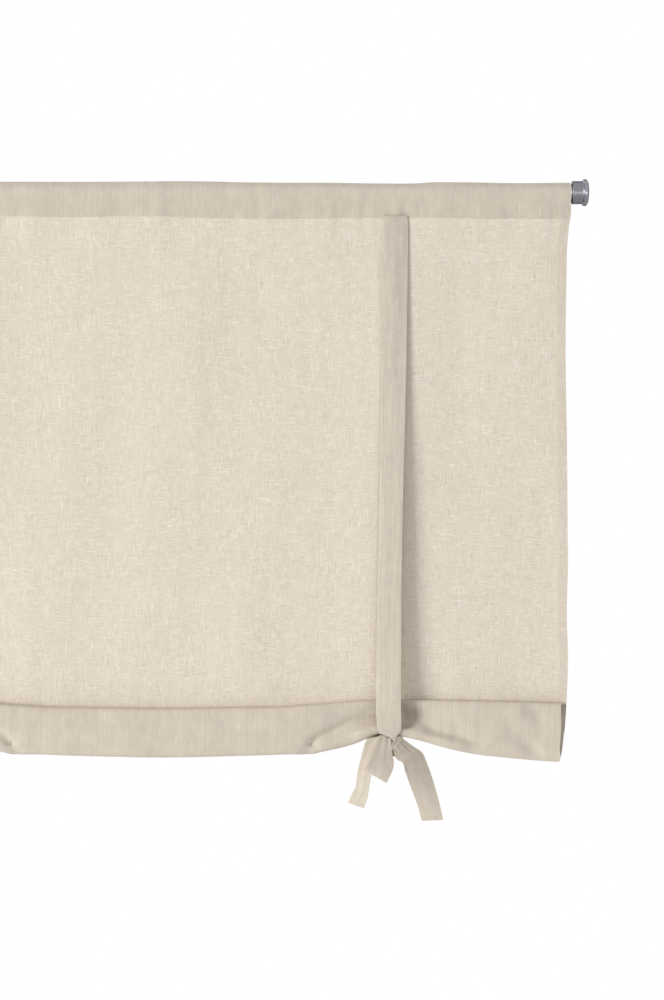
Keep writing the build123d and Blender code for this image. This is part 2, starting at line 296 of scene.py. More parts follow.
# Scale to the metre across and along the warp, detail and shift
CLOTH_NOISE = {
    "slub": ((420.0, 16.0, 1.0), 1.0, 23.9),
    "dots": ((520.0, 520.0, 1.0), 1.0, 67.7),
    "band": ((60.0, 4.0, 1.0), 1.0, 37.3),
    "cloud": ((26.0, 22.0, 1.0), 2.0, 51.2),
    "mottle": ((105.0, 75.0, 1.0), 1.0, 83.1),
    "warp_patch": ((42.0, 30.0, 1.0), 1.0, 5.3),
    "weft_patch": ((30.0, 42.0, 1.0), 1.0, 71.9),
}


def thread_noise(tree, thread_place, run_place, streaks, shift):
    """Noise that runs along each thread and starts anew on the next one."""
    index = math_node(tree, "FLOOR", math_node(tree, "DIVIDE", thread_place, THREAD_PITCH))
    apart = times(tree, index, THREAD_APART)
    along = times(tree, run_place, streaks)
    place = node(tree, "CombineXYZ", {0: apart, 1: along, 2: shift}).outputs[0]
    inputs = {"Vector": place, "Scale": 1.0, "Detail": 1.0, "Roughness": 0.75}
    return node(tree, "TexNoise", inputs).outputs["Fac"]


def needle_holes(tree, u, v, seam, patches):
    """A row of needle holes along the seam, painted as dots of shade, clearer in some patches."""
    off = math_node(tree, "ABSOLUTE", minus(tree, v, seam))
    turn = times(tree, u, TURN / STITCH_PITCH)
    holes = over(tree, math_node(tree, "SINE", turn), *HOLE_ROUND)
    holes = times(tree, holes, over(tree, off, *HOLE_REACH))
    return times(tree, holes, over(tree, patches, *HOLE_PATCHES))


def linen(name, single, double, contrast, slubs, seam=None):
    """Slubby plain weave. The layers attribute goes from the open single cloth, whose colour is the linen's own made
    lighter by painted light shining through it, to doubled cloth, and above 1 on to painted shade.

    contrast is what the streaks gain in single cloth, and what they have everywhere.
    """
    material, tree, shader = new_material(name)
    thread = node(tree, "Attribute", attribute_name="thread").outputs["Vector"]
    stack = node(tree, "Attribute", attribute_name="layers").outputs["Fac"]
    layers = math_node(tree, "MINIMUM", stack, 1.0)
    painted_shade = minus(tree, stack, layers)
    open_share = minus(tree, 1.0, layers)
    split = node(tree, "SeparateXYZ", {0: thread})
    u, v = split.outputs[0], split.outputs[1]
    warp = thread_noise(tree, u, v, WARP_STREAKS, WARP_SHIFT)
    weft = thread_noise(tree, v, u, WEFT_STREAKS, WEFT_SHIFT)
    slub, dots, band, cloud, mottle, warp_patch, weft_patch = (
        noise(tree, thread, *settings) for settings in CLOTH_NOISE.values()
    )
    across = math_node(tree, "SINE", times(tree, u, math.pi / THREAD_PITCH))
    along = math_node(tree, "SINE", times(tree, v, math.pi / THREAD_PITCH))
    weave = times(tree, across, along)

    strength = plus(tree, times(tree, open_share, contrast[0]), contrast[1])
    weft_share = plus(tree, times(tree, open_share, 1 - WEFT_DOUBLED), WEFT_DOUBLED)
    streaks, pale = 0.0, 0.0
    for threads, patch, swing, share in (
        (warp, warp_patch, WARP_SWING, 1.0), (weft, weft_patch, WEFT_SWING, weft_share),
    ):
        local = times(tree, strength, plus(tree, times(tree, patch, PATCH_SWING), PATCH_LEAST))
        local = times(tree, local, share)
        dark = times(tree, over(tree, threads, *DARK_THREADS), DARK_WEIGHT)
        tone = minus(tree, weighted(tree, (swing, threads)), dark)
        streaks = plus(tree, times(tree, tone, local), streaks)
        pale = larger(tree, times(tree, over(tree, threads, *PALE_THREADS), local), pale)
    # painted light through pinholes, in single cloth only
    pinholes = times(tree, over(tree, dots, *PINHOLES), open_share)
    pale = larger(tree, times(tree, pale, PALE_WEIGHT), times(tree, pinholes, PINHOLE_WEIGHT))

    broad = weighted(tree, (BAND_TONE, band), (CLOUD_TONE, cloud))
    uneven = weighted(tree, (slubs, slub), (0.5 * slubs, band), (MOTTLE_TONE, mottle))
    broad = plus(tree, broad, times(tree, uneven, layers))
    # layers above 1 darken the colour: painted shade
    broad = minus(tree, broad, times(tree, painted_shade, PAINTED_SHADE_STRENGTH))
    factor = plus(tree, plus(tree, streaks, broad), 1.0)
    factor = plus(tree, factor, times(tree, weave, WEAVE_TONE))
    if seam is not None:
        factor = minus(tree, factor, times(tree, needle_holes(tree, u, v, seam, cloud), HOLE_SHADE))
    base = mix(tree, layers, (*single, 1.0), (*double, 1.0))
    toned = mix(tree, pale, shaded(tree, base, factor), (*PALE_THREAD, 1.0))
    tree.links.new(toned, shader.inputs["Base Color"])

    height = plus(tree, streaks, times(tree, weave, WEAVE_HEIGHT))
    relief = node(tree, "Bump", {"Height": height, "Strength": 0.35, "Distance": 0.0006})
    tree.links.new(relief.outputs[0], shader.inputs["Normal"])
    rough = plus(tree, weighted(tree, (0.12, warp)), 0.88)
    tree.links.new(rough, shader.inputs["Roughness"])
    shader.inputs["Specular IOR Level"].default_value = 0.15
    shader.inputs["Sheen Weight"].default_value = 0.06
    shader.inputs["Sheen Roughness"].default_value = 0.6
    return material


# Single cloth: the linen's own colour made lighter by painted light shining through it from behind, which doubled
# cloth doesn't let through
LINEN_SINGLE_AND_PAINTED_BACKLIGHT = (0.744, 0.662, 0.552)
LINEN_DOUBLE = (0.638, 0.561, 0.466)
LINEN_TIE = (0.620, 0.545, 0.454)
LINEN_STITCH = (0.8, 0.72, 0.6)
LINEN_CONTRAST = (0.11, 0.07)
tie_cloth = linen("tie_cloth", LINEN_SINGLE_AND_PAINTED_BACKLIGHT, LINEN_TIE, LINEN_CONTRAST, 0.27)
stitch_thread = linen("stitch_thread", LINEN_SINGLE_AND_PAINTED_BACKLIGHT, LINEN_STITCH, (0.1, 0.05), 0.1)

# Metal, rubber and plastic

FLANGE_FROM = 0.4850  # the feet's flanges begin this far from the rod's middle
FLANGE_SOFT = 0.0004
FLANGE_LIGHT = 4  # how much lighter polish makes them
BROAD_SCALE = (60.0, 60.0, 60.0)
BROAD_TONE = 0.08
FINE_GLOSS = 0.18
BROAD_GLOSS = 0.12
GRAIN_RELIEF = 0.12
GRAIN_HEIGHT = 0.0002
RIM_BLUE = 1.05


def satin(name, colour, metallic, roughness, grain, streak, uneven=1.0, rim=0.55, polish=0.0):
    """A surface with fine grain. Rim tints its reflections, and polish makes the flanges smoother and lighter."""
    material, tree, shader = new_material(name)
    place = node(tree, "TexCoord").outputs["Object"]
    fine = noise(tree, place, grain, 3.0, 7.7, 0.6)
    broad = noise(tree, place, BROAD_SCALE, 2.0, 19.1)
    factor = plus(tree, weighted(tree, (streak, fine), (BROAD_TONE, broad)), 1.0)
    rough = plus(tree, weighted(tree, (FINE_GLOSS * uneven, fine), (BROAD_GLOSS * uneven, broad)), roughness)
    if polish:
        along = node(tree, "SeparateXYZ", {0: place}).outputs[0]
        off_middle = math_node(tree, "ABSOLUTE", minus(tree, along, ROD_MIDDLE))
        flange = over(tree, off_middle, FLANGE_FROM - FLANGE_SOFT, FLANGE_FROM + FLANGE_SOFT)
        factor = plus(tree, factor, times(tree, flange, FLANGE_LIGHT * polish))
        rough = minus(tree, rough, times(tree, flange, polish))
    tree.links.new(shaded(tree, (*colour, 1.0), factor), shader.inputs["Base Color"])
    tree.links.new(rough, shader.inputs["Roughness"])
    relief = node(tree, "Bump", {"Height": fine, "Strength": GRAIN_RELIEF * uneven, "Distance": GRAIN_HEIGHT})
    tree.links.new(relief.outputs[0], shader.inputs["Normal"])
    shader.inputs["Metallic"].default_value = metallic
    shader.inputs["Specular Tint"].default_value = (rim, rim, RIM_BLUE * rim, 1.0)
    return material


tube_steel = satin("tube_steel", (0.55, 0.55, 0.57), 1.0, 0.34, (30.0, 2500.0, 2500.0), 0.12, uneven=0.4)
foot_metal = satin(
    "foot_metal", (0.235, 0.235, 0.26), 1.0, 0.34, (1500.0, 120.0, 120.0), 0.08, uneven=0.1, rim=0.25, polish=0.07
)
pad_rubber = satin("pad_rubber", (0.30, 0.30, 0.31), 0.0, 0.72, (900.0, 900.0, 900.0), 0.15)
lock_plastic = satin("lock_plastic", (0.75, 0.75, 0.74), 0.0, 0.45, (1200.0, 1200.0, 1200.0), 0.05)
spring_steel = satin("spring_steel", (0.5, 0.5, 0.5), 1.0, 0.28, (2500.0, 200.0, 200.0), 0.10)

# The cloth

CLOTH_HALF = 0.45
CLOTH_THICK = 0.0008
HEM = 0.010
HEM_STEP = 0.0004  # half of the way over which the hem's edge steps down
HEM_DOUBLED = 0.42  # how far the hem goes to the look of doubled cloth
HEM_SHARE = {"channel": 0.0, "panel": 1.0, "outer": 0.12, "inner": 0.12}  # how much of the hem's step each part has
ROD_ROUND = 0.0087  # the cloth's middle round the rod
FOLD_PEAK = 0.0021  # the pressed fold stands this far off the rod
STITCH_Z = -0.0268
SEAM_Z = -0.0283  # lower edge of the doubled cloth
SEAM_GAP = 0.0003
SEAM_EDGE_Y = -0.001
SEAM_FIND = 0.0004  # rows this near to STITCH_Z are the seam's
BACK_LAYER_Y = 0.00088  # the channel's back, at the seam
BACK_SLACK = 0.0007
FRONT_SLACK = 0.0009
FOLD_ANGLE = 0.42  # reach of the pressed fold and of the upper line's waves round the rod
TOP_WAVE_ANGLE = 0.8
PANEL_GAP = 0.0004  # from the seam to the panel's first row
PANEL_BACK = 0.004  # the panel is all the way back this far above the roll
PANEL_FREE_FROM = 0.05  # metres below the seam
PANEL_FREE_TO = (0.9, 0.08)  # share of the panel where its waves begin to fade, and how fast
ROLL_FADE = 0.004  # the panel turns into covered cloth over this length behind the roll
COVERED_FROM = (0.6, 0.4)  # doubled share from which it gets painted shade
ROLL_SIDE = 0.4418  # half of the cloth's width at the roll
ROLL_HALF_DEPTH = 0.0086
ROLL_HALF_HEIGHT = 0.027  # about, where the rows are spaced
ROLL_TURNS = 5
ROLL_PITCH = 0.00145
ROLL_FLAT = 1.6  # the turns lie this much farther apart in height
ROLL_SQUARE = 4.2  # exponent of the outermost turn's outline
ROLL_ROUNDER = 1.4  # and how much less it is in the middle
ROLL_SPARSER = 0.6  # how fast the rows get sparser farther in
ROLL_BOTTOM_Y = -0.002
TIE_PX = 388.5  # the tie's middle at the roll
COLUMNS = 176
CLOSER_AT_TIE = [(1.3, 0.0, 0.07), (2.5, 0.026, 0.014)]  # how much closer, how far from the tie, reach
CLOSER_AT_HEM = (1.2, 0.02)
PANEL_SHARES = np.concatenate([
    [0, 0.004, 0.009, 0.016, 0.025, 0.036], np.linspace(0.05, 0.935, 58), np.linspace(0.945, 1, 12),
])
OUTER_ROWS = 75
INNER_ROWS = 66
INNER_FROM = 1.9 * math.pi  # the roll's turns from here on are covered
# painted shade on the roll's covered inner turns
INNER_SHADE = 0.3
COVERED_SHADE = 0.75  # painted shade on the side that faces into the roll

# Soft waves, each (height, length along x, length along z, phase)
SEAM_WAVES = [(0.00012, 0.047, 1, 1.1), (0.0001, 0.019, 1, 0.3)]
PUCKER = [(0.00026, 0.023, 1, 0.7), (0.0002, 0.0145, 1, 2.9), (0.00036, 0.061, 1, 4.0)]
FRONT_PUCKER = 1.4  # how strong it is down the channel's front, at the seam, at its lower edge and on the panel
SEAM_PUCKER = 1.2
EDGE_PUCKER = 0.8
PANEL_PUCKER = 0.9
PANEL_PUCKER_REACH = 0.018
PANEL_WAVES = [(0.00055, 0.21, 1.3, 0.3), (0.0004, 0.118, -0.9, 1.9), (0.00028, 0.34, 0.31, 4.4)]
SEAM_FOLDS = [(0.00022, 0.036, 0.12, 1.2)]
ROLL_END_WAVES = [(0.0005, 0.14, 0.21, 0.9), (0.0004, 0.071, -0.09, 2.2)]
ROLL_WAVES = [(0.00016, 0.043, 0.09, 0.4), (0.00014, 0.029, -0.055, 1.7), (0.00018, 0.075, 0.034, 3.1)]
SEAM_FOLDS_REACH = 0.045
SEAM_FOLDS_PX = (300, 75)  # the middle column and the reach of these folds and waves
ROLL_END_PX = (520, 60)

# The panel's right edge, (row, column) of the photo
EDGE_PX = [
    (180, 569.4), (186, 570.6), (205, 570.9), (214, 570.9), (218, 570.2), (224, 569.1), (232, 568.3), (245, 567.1),
    (270, 566.6), (330, 565.7), (375, 565.8), (430, 566.8), (520, 567.6), (560, 567.9), (610, 566.8), (650, 567.9),
    (690, 566.8), (708, 565.8), (725, 564.5), (742, 562.9),
]
# The channel's upper line across the blind, (column, row)
TOP_PX = [
    (-260, 182.4), (-150, 182.7), (-50, 181.9), (8, 181.7), (90, 181.8), (150, 181.4), (180, 181.2), (210, 181.5),
    (240, 182.3), (270, 182.6), (330, 182.8), (372, 183.4), (404, 183.5), (416, 183.2), (424, 182.5), (450, 182.3),
    (470, 182.4), (490, 182.9), (575, 182.7),
]
# The seam's line across the blind, (column, row)
SEAM_PX = [
    (-260, 218.2), (-100, 218.4), (-30, 217.2), (20, 216.5), (50, 217), (80, 217.5), (110, 216.6), (140, 216.5),
    (170, 216.9), (200, 218.1), (230, 218.6), (260, 218.9), (290, 218.9), (320, 218.7), (350, 218.2), (380, 218.2),
    (410, 217.8), (440, 217.9), (470, 218.8), (500, 218.9), (530, 219.1), (575, 219.1),
]
# The roll's upper and lower line from the blind's middle to its right end, (column, row)
ROLL_TOP_PX = [
    (140, 708.5), (180, 708.2), (240, 707.2), (280, 706.6), (300, 705.2), (320, 703.8), (340, 702), (360, 700.6),
    (390, 700), (440, 700), (480, 700.8), (520, 701.6), (545, 702.4), (575, 703.6),
]
ROLL_BOTTOM_PX = [
    (140, 757.8), (180, 757.6), (220, 756.7), (260, 755.6), (290, 754.6), (308, 754.7), (314, 754.4), (320, 752.9),
    (335, 749.6), (349, 746.3), (357, 743.8), (365, 740.6), (370, 738), (376, 735.2), (388, 733.8), (399, 735.2),
    (405, 736.9), (411, 738.2), (424, 741.2), (442, 746.4), (460, 751), (480, 755), (500, 757.2), (520, 759.2),
    (545, 761.3), (575, 762.6),
]
# The right edge of the roll's layers, (height in the roll from 0 to 1, column), and how far each half turn departs
ROLL_EDGE_PX = [(0, 559.7), (0.12, 561.5), (0.3, 562.9), (0.5, 564), (1, 565.6)]
LAYER_SHIFT_PX = [
    (0, 0), (0.4, -0.2), (0.6, -0.3), (0.74, -0.5), (0.82, -1.4), (0.9, -2.8), (1, -3.6), (1.25, -4.5), (1.4, -4.1),
    (1.47, -2.6), (1.54, -1), (1.7, -0.9), (2, -1.2), (2.5, -1.4), (3, -4.6), (3.5, -5), (4, -1.8), (4.5, -2.2),
    (5, -4.8), (5.5, -5.4), (6, -2.8), (7, -5), (8, -3.6), (9, -5.4), (10, -4.6),
]
# Beside the tie, by pixels from its middle: the pixels of the crease and of the lip's edge above the roll's lower
# line, how far the front is drawn in above the lip, and the depth of the crease itself, both in millimetres.
# Right of the tie the lip ends at the crease
CREASE_RIGHT = [
    (0, 9), (8, 9), (16, 9.6), (22, 10.8), (28, 12.4), (35, 13.8), (44, 12.3), (57, 12.4), (77, 13.4), (100, 11),
]
CREASE_LEFT = [
    (0, 12.5), (10, 14.5), (18.5, 17), (24.5, 19.6), (30.5, 21.4), (36.5, 22.4), (42.5, 22.2), (50.5, 19.8),
    (58.5, 18), (68.5, 15.6), (73, 12.6), (76, 9), (79, 3.5), (82, -4), (87, -9),
]
LIP_LEFT = [
    (0, 8.5), (14, 9.8), (18.5, 10.8), (24.5, 12.6), (30.5, 12.8), (36.5, 13.2), (42.5, 12.4), (50.5, 11.4),
    (58.5, 10.8), (68.5, 12), (76, 8), (80, 2), (87, -4),
]
DRAWN_RIGHT = [
    (0, 12), (14, 13.6), (21, 13.2), (26, 11.8), (32, 9.8), (40, 8.2), (52, 6.6), (70, 5), (100, 3.4), (150, 2.8),
    (175, 2.6),
]
DRAWN_LEFT = [(0, 8), (14, 7), (28, 5.4), (45, 3.6), (65, 1.6), (90, 0)]
GROOVE_RIGHT = [(0, 0), (24, 0), (34, 0.3), (44, 1.2), (56, 2.1), (78, 2.5), (98, 0)]
GROOVE_LEFT = [
    (0, 4.2), (14, 4.1), (20, 3.9), (26, 3.6), (32, 3.2), (38, 2.9), (44, 3), (50, 3.2), (68, 4), (77, 4.6),
    (82, 3.4), (88, 0),
]
SIDE_SOFT = 6  # pixels over which the left of the tie goes over into the right
STEP_LEFT = (5, 6, 38, 22)  # pixels over which the front goes in: least, more, most at, reach
STEP_RIGHT = (2.6, 8, 38, 13)
STEP_GROWTH = 0.05
LIP_ENDS = (70, 24)  # from here on the lip is drawn in as well
UPPER = (24, 13)  # pixels above the lower line from which the front comes out again
UPPER_EASED = 0.35
CREASE_LIFT = 0.5
CREASE_WIDE = (4.2, 3.8)  # left and right
CREASE_WIDER = [(1.8, 30, 18), (3, 79, 7)]  # on the left: more, most at, reach
# Dents in the roll's right end: column, row, length and width in pixels, depth. They all slant by DENT_SLANT
DENTS = [(538, 713, 13, 6, 0.0030), (537, 749, 11, 5.5, 0.0030), (519, 733, 18, 8, 0.0028)]
DENT_SLANT = (0.8, 0.6)
PIT_PX = (411, 713)  # the pit right of the tie, where hardly any light gets in; its cloth gets painted shade
PIT_REACH_PX = (16, 11)
PIT_SHADE = 0.95
# Painted shade on the panel where the back tie, behind it beside the front one, keeps light from shining through:
# (column, soft reach) where it begins and ends
BEHIND_FROM_PX = (374.5, 3.5)
BEHIND_TO_PX = (385, 4)
BEHIND_FADE = (0.05, 0.12)  # metres below the seam
BEHIND_TIE_SHADE = 0.5


def fold_side(x):
    """Folds the left half of the blind onto the right one, which the photo shows."""
    return CLOTH_MIDDLE + np.abs(x - CLOTH_MIDDLE)


def roll_recess(x, z, bottom):
    """How far the roll's front is drawn in beside the tie, above its lower lip."""
    right = to_px(fold_side(x)) - TIE_PX
    above = (z - bottom) / PIXEL
    away = np.abs(right)
    share = ramp(right, -SIDE_SOFT, 2 * SIDE_SOFT)

    def beside(left, right_of_tie):
        return left * (1 - share) + right_of_tie * share

    def between(left_line, right_line):
        return beside(curve(left_line, away), curve(right_line, away))

    def hill(least, more, at, reach):
        return least + more * bump(away - at, reach)

    lip = between(LIP_LEFT, CREASE_RIGHT)
    step = beside(hill(*STEP_LEFT), STEP_GROWTH * away + hill(*STEP_RIGHT))
    far = ramp(away, *LIP_ENDS)
    lifted = far + (1 - far) * ease((above - lip) / step + 0.5)
    drawn = lifted * (1 - UPPER_EASED * ramp(above, *UPPER)) * between(DRAWN_LEFT, DRAWN_RIGHT)
    wide_left, wide_right = CREASE_WIDE
    for wider in CREASE_WIDER:
        wide_left = hill(wide_left, *wider)
    wide = beside(wide_left, wide_right)
    crease = between(CREASE_LEFT, CREASE_RIGHT)
    groove = bump(above - crease - CREASE_LIFT, wide) * between(GROOVE_LEFT, GROOVE_RIGHT)
    dents = 0.0
    a, b = DENT_SLANT
    for column, row, length, width, depth in DENTS:
        across, down = right + TIE_PX - column, (photo_z(row) - z) / PIXEL
        dents = dents + depth * bump(a * across - b * down, width) * bump(b * across + a * down, length)
    return (drawn + groove) / 1000 + dents


def column_shares():
    """Columns from -1 to 1 across the blind, closer at the ties and in two pairs at the hems."""
    fine = np.linspace(-CLOTH_HALF, CLOTH_HALF, 4001)
    off_tie = np.abs(fine) - (float(photo_x(TIE_PX)) - CLOTH_MIDDLE)
    density = 1 + sum(more * bump(off_tie - off, reach) for more, off, reach in CLOSER_AT_TIE)
    density = density + CLOSER_AT_HEM[0] * bump(np.abs(fine) - CLOTH_HALF, CLOSER_AT_HEM[1])
    reach = np.cumsum(density)
    even = np.interp(np.linspace(reach[0], reach[-1], COLUMNS), reach, fine)
    hem = CLOTH_HALF - HEM
    even = even[np.abs(np.abs(even) - hem) > 3 * HEM_STEP]
    pair = [hem - HEM_STEP, hem + HEM_STEP]
    return np.sort(np.concatenate([even, pair, [-p for p in pair]])) / CLOTH_HALF


def panel_half(y, z):
    """Half of the cloth's width in a row at y and z, from the panel's right edge."""
    row = (photo_z(0) - float(np.mean(z))) / PIXEL
    return float(photo_x(curve(EDGE_PX, row), float(np.mean(y)))) - CLOTH_MIDDLE


def channel_rows(x, seam_wave, pucker):
    """Y, Z and half width of the channel's rows: up the back, over the rod, down the front."""
    top_wave = photo_z(curve(TOP_PX, to_px(x))) - CLOTH_THICK / 2 - ROD_ROUND - FOLD_PEAK
    apart = math.acos(ROD_ROUND / -STITCH_Z)
    touch_y = ROD_ROUND * math.sin(apart)
    touch_z = -ROD_ROUND * math.cos(apart)
    for share in (0.0, 0.5, 1.0):
        z = SEAM_Z + (STITCH_Z - SEAM_Z) * share + seam_wave
        yield BACK_LAYER_Y, z, panel_half(SEAM_EDGE_Y, z)
    for share in np.linspace(0, 1, 7)[1:-1]:
        slack = BACK_SLACK * math.sin(math.pi * share)
        y = BACK_LAYER_Y + (touch_y - BACK_LAYER_Y) * share + slack - pucker * (1 - share)
        z = STITCH_Z + (touch_z - STITCH_Z) * share + seam_wave * (1 - share)
        yield y, z, panel_half(-np.abs(y), z)
    for angle in np.linspace(math.pi - apart, apart - math.pi, 23):
        peak = ROD_ROUND + FOLD_PEAK * bump(angle, FOLD_ANGLE)
        y = peak * math.sin(angle)
        z = peak * math.cos(angle) + top_wave * bump(angle, TOP_WAVE_ANGLE)
        yield y, z, panel_half(-np.abs(y), z)
    for share in np.linspace(0, 1, 9)[1:-1]:
        slack = FRONT_SLACK * math.sin(math.pi * share)
        y = -touch_y * (1 - share) - slack + pucker * share * FRONT_PUCKER
        z = touch_z + (STITCH_Z - touch_z) * share + seam_wave * share
        yield y, z, panel_half(-np.abs(y), z)
    seam_y = pucker * SEAM_PUCKER
    yield seam_y, STITCH_Z + seam_wave, panel_half(SEAM_EDGE_Y, STITCH_Z)
    yield seam_y * EDGE_PUCKER, SEAM_Z + SEAM_GAP + seam_wave, panel_half(SEAM_EDGE_Y, SEAM_Z + SEAM_GAP)


def panel_rows(x, px, seam_wave, pucker, top, centre):
    """Y, Z, half width and doubled share of the panel's rows, which slant back behind the roll."""
    start = SEAM_Z - PANEL_GAP + seam_wave
    behind_tie = ramp(px, *BEHIND_FROM_PX) * (1 - ramp(px, *BEHIND_TO_PX))
    for share in PANEL_SHARES:
        z = start + (centre - start) * share
        down = start - z
        slant = np.minimum(down / (start - top - PANEL_BACK), 1.0)
        y = ROLL_HALF_DEPTH * slant + pucker * PANEL_PUCKER * bump(down, PANEL_PUCKER_REACH)
        y = y + ease(down / PANEL_FREE_FROM) * (1 - ramp(share, *PANEL_FREE_TO)) * waves(x, z, PANEL_WAVES)
        folds = waves(x, z, SEAM_FOLDS) * bump(px - SEAM_FOLDS_PX[0], SEAM_FOLDS_PX[1])
        y = y + bump(down, SEAM_FOLDS_REACH) * folds
        behind = BEHIND_TIE_SHADE * behind_tie * (1 - ramp(down, *BEHIND_FADE))
        yield y, z, panel_half(y, z), np.maximum(behind, ease((top - z) / ROLL_FADE))


def roll_outline(angle, half_height):
    """The flattened spiral, from the middle of the roll's back, down and round to the front."""
    inward = ROLL_PITCH * angle / TURN
    power = 2 / (ROLL_SQUARE - ROLL_ROUNDER * angle / (TURN * ROLL_TURNS))
    cos = np.cos(angle)
    sin = -np.sin(angle)
    y = (ROLL_HALF_DEPTH - inward) * np.sign(cos) * np.abs(cos) ** power
    z = (half_height - inward * ROLL_FLAT) * np.sign(sin) * np.abs(sin) ** power
    return y, z


def roll_angles():
    """The angle of each of the roll's rows: even along the outer turn, and sparser farther in."""
    fine = np.linspace(0, TURN * ROLL_TURNS, 4000 * ROLL_TURNS + 1)
    length = lengths(np.column_stack(roll_outline(fine, ROLL_HALF_HEIGHT)))
    first = np.interp(TURN, fine, length)
    tight = length / first + ROLL_SPARSER * fine / TURN
    outer = np.linspace(0, first, OUTER_ROWS)[1:]
    inner = np.interp(np.linspace(1 + ROLL_SPARSER, tight[-1], INNER_ROWS)[1:], tight, length)
    return [float(np.interp(mark, length, fine)) for mark in np.concatenate([outer, inner])]


def roll_rows(x, px, top, bottom):
    """Angle, Y, Z, half width and painted pit shade of the roll's rows: under to the front, up, over and in."""
    centre = (top + bottom) / 2
    for angle in roll_angles():
        y, z = roll_outline(angle, (top - bottom) / 2)
        z = centre + z
        front = (ROLL_HALF_DEPTH - y) / (2 * ROLL_HALF_DEPTH)
        y = y + front * roll_recess(x, z, bottom)
        y = y + front * waves(x, z, ROLL_END_WAVES) * bump(px - ROLL_END_PX[0], ROLL_END_PX[1])
        y = y + front * waves(x, z, ROLL_WAVES)
        height = float(np.mean((z - bottom) / (top - bottom)))
        column = curve(ROLL_EDGE_PX, height) + curve(LAYER_SHIFT_PX, angle / np.pi)
        half = float(photo_x(column, float(np.mean(y)))) - CLOTH_MIDDLE
        pit = bump(px - PIT_PX[0], PIT_REACH_PX[0]) * bump((z - photo_z(PIT_PX[1])) / PIXEL, PIT_REACH_PX[1])
        yield angle, y, z, half, ease(2 * front - 1) * pit


def linen_rows(x):
    """Part, Y, Z, half width, doubled share and painted pit shade of each row of the cloth at columns x."""
    px = to_px(fold_side(x))
    top = photo_z(curve(ROLL_TOP_PX, px), -ROLL_HALF_DEPTH)
    bottom = photo_z(curve(ROLL_BOTTOM_PX, px), ROLL_BOTTOM_Y)
    seam_wave = photo_z(curve(SEAM_PX, to_px(x))) - SEAM_Z + waves(x, 0, SEAM_WAVES)
    pucker = waves(x, 0, PUCKER)
    for y, z, half in channel_rows(x, seam_wave, pucker):
        yield "channel", y, z, half, 1.0, 0.0
    for y, z, half, doubled in panel_rows(x, px, seam_wave, pucker, top, (top + bottom) / 2):
        yield "panel", y, z, half, doubled, 0.0
    for angle, y, z, half, pit in roll_rows(x, px, top, bottom):
        yield "outer" if angle < INNER_FROM else "inner", y, z, half, 1.0, pit


shares = column_shares()
rows = list(linen_rows(CLOTH_MIDDLE + shares * ROLL_SIDE))
grid = np.zeros((len(rows), len(shares), 3))
double = np.zeros(grid.shape[:2])
hem_share = np.zeros(grid.shape[:2])
painted_shade = np.zeros((2,) + grid.shape[:2])  # painted shade on the sheet's two sides: into the roll, and out of it
in_hem = ((1 - np.abs(shares)) * CLOTH_HALF < HEM).astype(float)
for r, (part, y, z, half, doubled, pit) in enumerate(rows):
    grid[r, :, 0] = CLOTH_MIDDLE + shares * half
    grid[r, :, 1] = y
    grid[r, :, 2] = z
    double[r] = np.maximum(doubled, in_hem * HEM_DOUBLED)
    hem_share[r] = in_hem * HEM_SHARE[part]
    if part != "channel":
        painted_shade[0, r] = COVERED_SHADE * ramp(doubled, *COVERED_FROM)
    painted_shade[1, r] = INNER_SHADE if part == "inner" else PIT_SHADE * pit
    if part == "inner":
        painted_shade[:, r, [0, -1]] = 0.0  # raw edges get no painted shade
run = lengths(grid[:, len(shares) // 2])
thread_places = np.dstack(np.meshgrid(shares * CLOTH_HALF, run))
half_thick = np.full(grid.shape[:2], CLOTH_THICK / 2)
linen_part = shell(grid, half_thick, half_thick + hem_share * CLOTH_THICK, thread_places, double + painted_shade)
seam_rows = [r for r in range(len(rows)) if abs(float(np.mean(grid[r, :, 2])) - STITCH_Z) < SEAM_FIND]
back_seam, front_seam = min(seam_rows), max(seam_rows)
linen_cloth = linen("linen_cloth", LINEN_SINGLE_AND_PAINTED_BACKLIGHT, LINEN_DOUBLE, LINEN_CONTRAST, 0.16, float(run[front_seam]))
linen_panel = piece("linen_blind", linen_part, linen_cloth)
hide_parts("linen_panel")

# The ties

TIE_THICK = 0.0008
TIE_WIDTH = 0.03
TIE_CUP = 0.0004

# Each station is the left and the right edge as (column, row, depth in mm)
FRONT_STRIP = [
    ((383.0, 216.0, -2.7), (406.3, 215.8, -2.7)),
    ((382.4, 217.0, -1.6), (407.1, 216.9, -1.6)),
    ((382.1, 218.4, -1.0), (407.6, 218.4, -1.0)),
    ((382.1, 222, -1.1), (407.8, 222, -1.2)),
    ((381.9, 240, -1.3), (407.8, 240, -1.5)),
    ((381.8, 300, -1.5), (407.3, 300, -2.0)),
    ((380.8, 400, -1.8), (405.5, 400, -3.0)),
    ((379.4, 515, -3.2), (402.6, 515, -6.7)),
    ((377.3, 620, -4.2), (401.2, 620, -7.9)),
    ((376.9, 645, -4.8), (401.1, 645, -8.4)),
    ((376.2, 690, -7.0), (400.8, 690, -11.0)),
    ((376.0, 703, -8.8), (400.8, 703, -13.0)),
    ((376.2, 713, -10.2), (401.0, 713, -13.6)),
    ((376.8, 722, -10.3), (401.2, 721, -12.2)),
    ((377.2, 728.5, -10.0), (401.1, 727, -10.4)),
    ((378.2, 732, -9.7), (400.6, 731, -9.9)),
    ((380.8, 734.4, -9.5), (399.0, 733.4, -9.6)),
    ((386.5, 735.6, -9.4), (396.8, 735.6, -9.5)),
    ((391.4, 738.4, -9.2), (394.8, 738.8, -9.3)),
    ((393.0, 740.0, -8.6), (393.9, 740.2, -8.6)),
]
